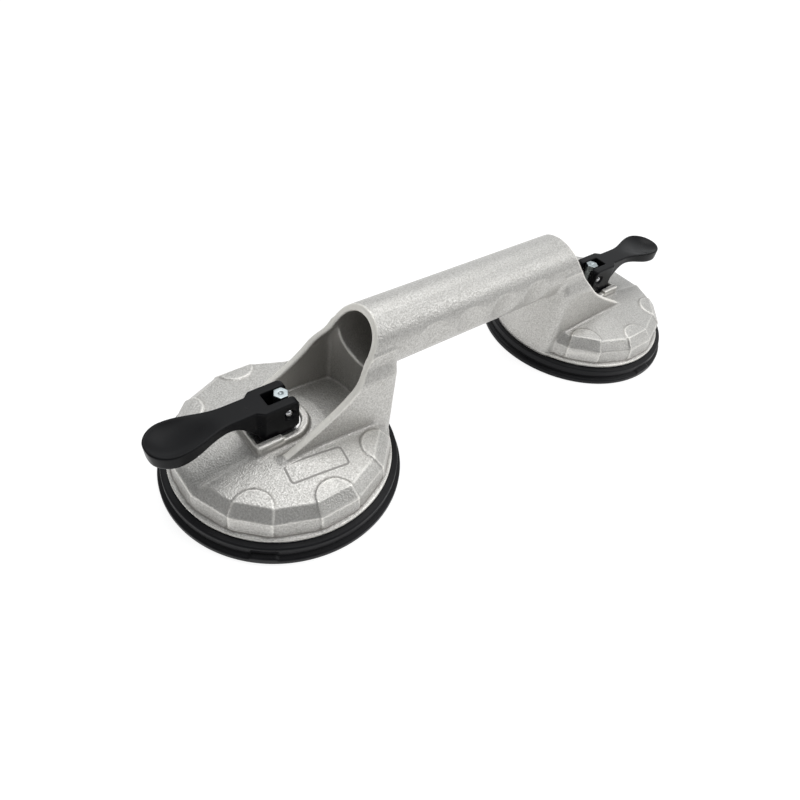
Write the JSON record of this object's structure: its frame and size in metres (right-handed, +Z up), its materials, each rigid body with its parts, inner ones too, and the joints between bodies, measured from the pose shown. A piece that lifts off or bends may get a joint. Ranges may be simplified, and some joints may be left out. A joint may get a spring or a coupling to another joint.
{
  "type": "double-cup vacuum lifter",
  "caption": "Hand lifter for glass and tiles: a hollow die-cast handle joins round rubber suction pads, each drawn up into a vacuum by its own fold-over lever.",
  "frame": {"origin": "on the surface the pads stand on, half way between the two cups", "axes": "+X along the handle towards the right cup, +Z up out of the surface"},
  "size_m": [0.3446, 0.118, 0.0775],
  "materials": {
    "cast_aluminium": "fine grit-blasted casting with smooth pale edges",
    "black_rubber": "satin black moulded rubber",
    "lever_plastic": "satin black glass-filled nylon",
    "zinc_steel": "bright zinc plate",
    "polished_steel": "polished pin",
    "stainless_steel": "rolled sheet",
    "spring_steel": "drawn wire",
    "brass": "turned",
    "bush_plastic": "natural acetal"
  },
  "bodies": {
    "body": {"body_casting": "cast_aluminium", "suction_pad_left": "black_rubber", "guide_bush_left": "bush_plastic", "wear_plate_left": "stainless_steel", "release_spring_left": "spring_steel", "suction_pad_right": "black_rubber", "guide_bush_right": "bush_plastic", "wear_plate_right": "stainless_steel", "release_spring_right": "spring_steel"},
    "plunger_left": {"pull_bolt_left": "zinc_steel", "lock_nut_left": "zinc_steel", "threaded_insert_left": "brass", "backing_plate_left": "zinc_steel", "spring_washer_left": "zinc_steel", "pivot_pin_left": "polished_steel"},
    "plunger_right": {"pull_bolt_right": "zinc_steel", "lock_nut_right": "zinc_steel", "threaded_insert_right": "brass", "backing_plate_right": "zinc_steel", "spring_washer_right": "zinc_steel", "pivot_pin_right": "polished_steel"},
    "lever_arm_left": {"lever_left": "lever_plastic"},
    "lever_arm_right": {"lever_right": "lever_plastic"}
  },
  "joints": [
    {"name": "plunger_slide_left", "type": "slide", "parent": "body", "child": "plunger_left", "axis": [0, 0, -1], "range_m": [0, 0.0035], "deforming": ["release_spring_left", "suction_pad_left"]},
    {"name": "lever_tilt_left", "type": "hinge", "parent": "plunger_left", "child": "lever_arm_left", "pos_m": [-0.11, 0, 0.04], "axis": [0, 1, 0], "range_deg": [0, 90]},
    {"name": "plunger_slide_right", "type": "slide", "parent": "body", "child": "plunger_right", "axis": [0, 0, -1], "range_m": [0, 0.0035], "deforming": ["release_spring_right", "suction_pad_right"]},
    {"name": "lever_tilt_right", "type": "hinge", "parent": "plunger_right", "child": "lever_arm_right", "pos_m": [0.11, 0, 0.04], "axis": [0, -1, 0], "range_deg": [0, 90]}
  ],
  "couplings": [
    {"joint": "plunger_slide_left", "follows": "lever_tilt_left", "m_per_rad": 0.0022282},
    {"joint": "plunger_slide_right", "follows": "lever_tilt_right", "m_per_rad": 0.0022282}
  ]
}
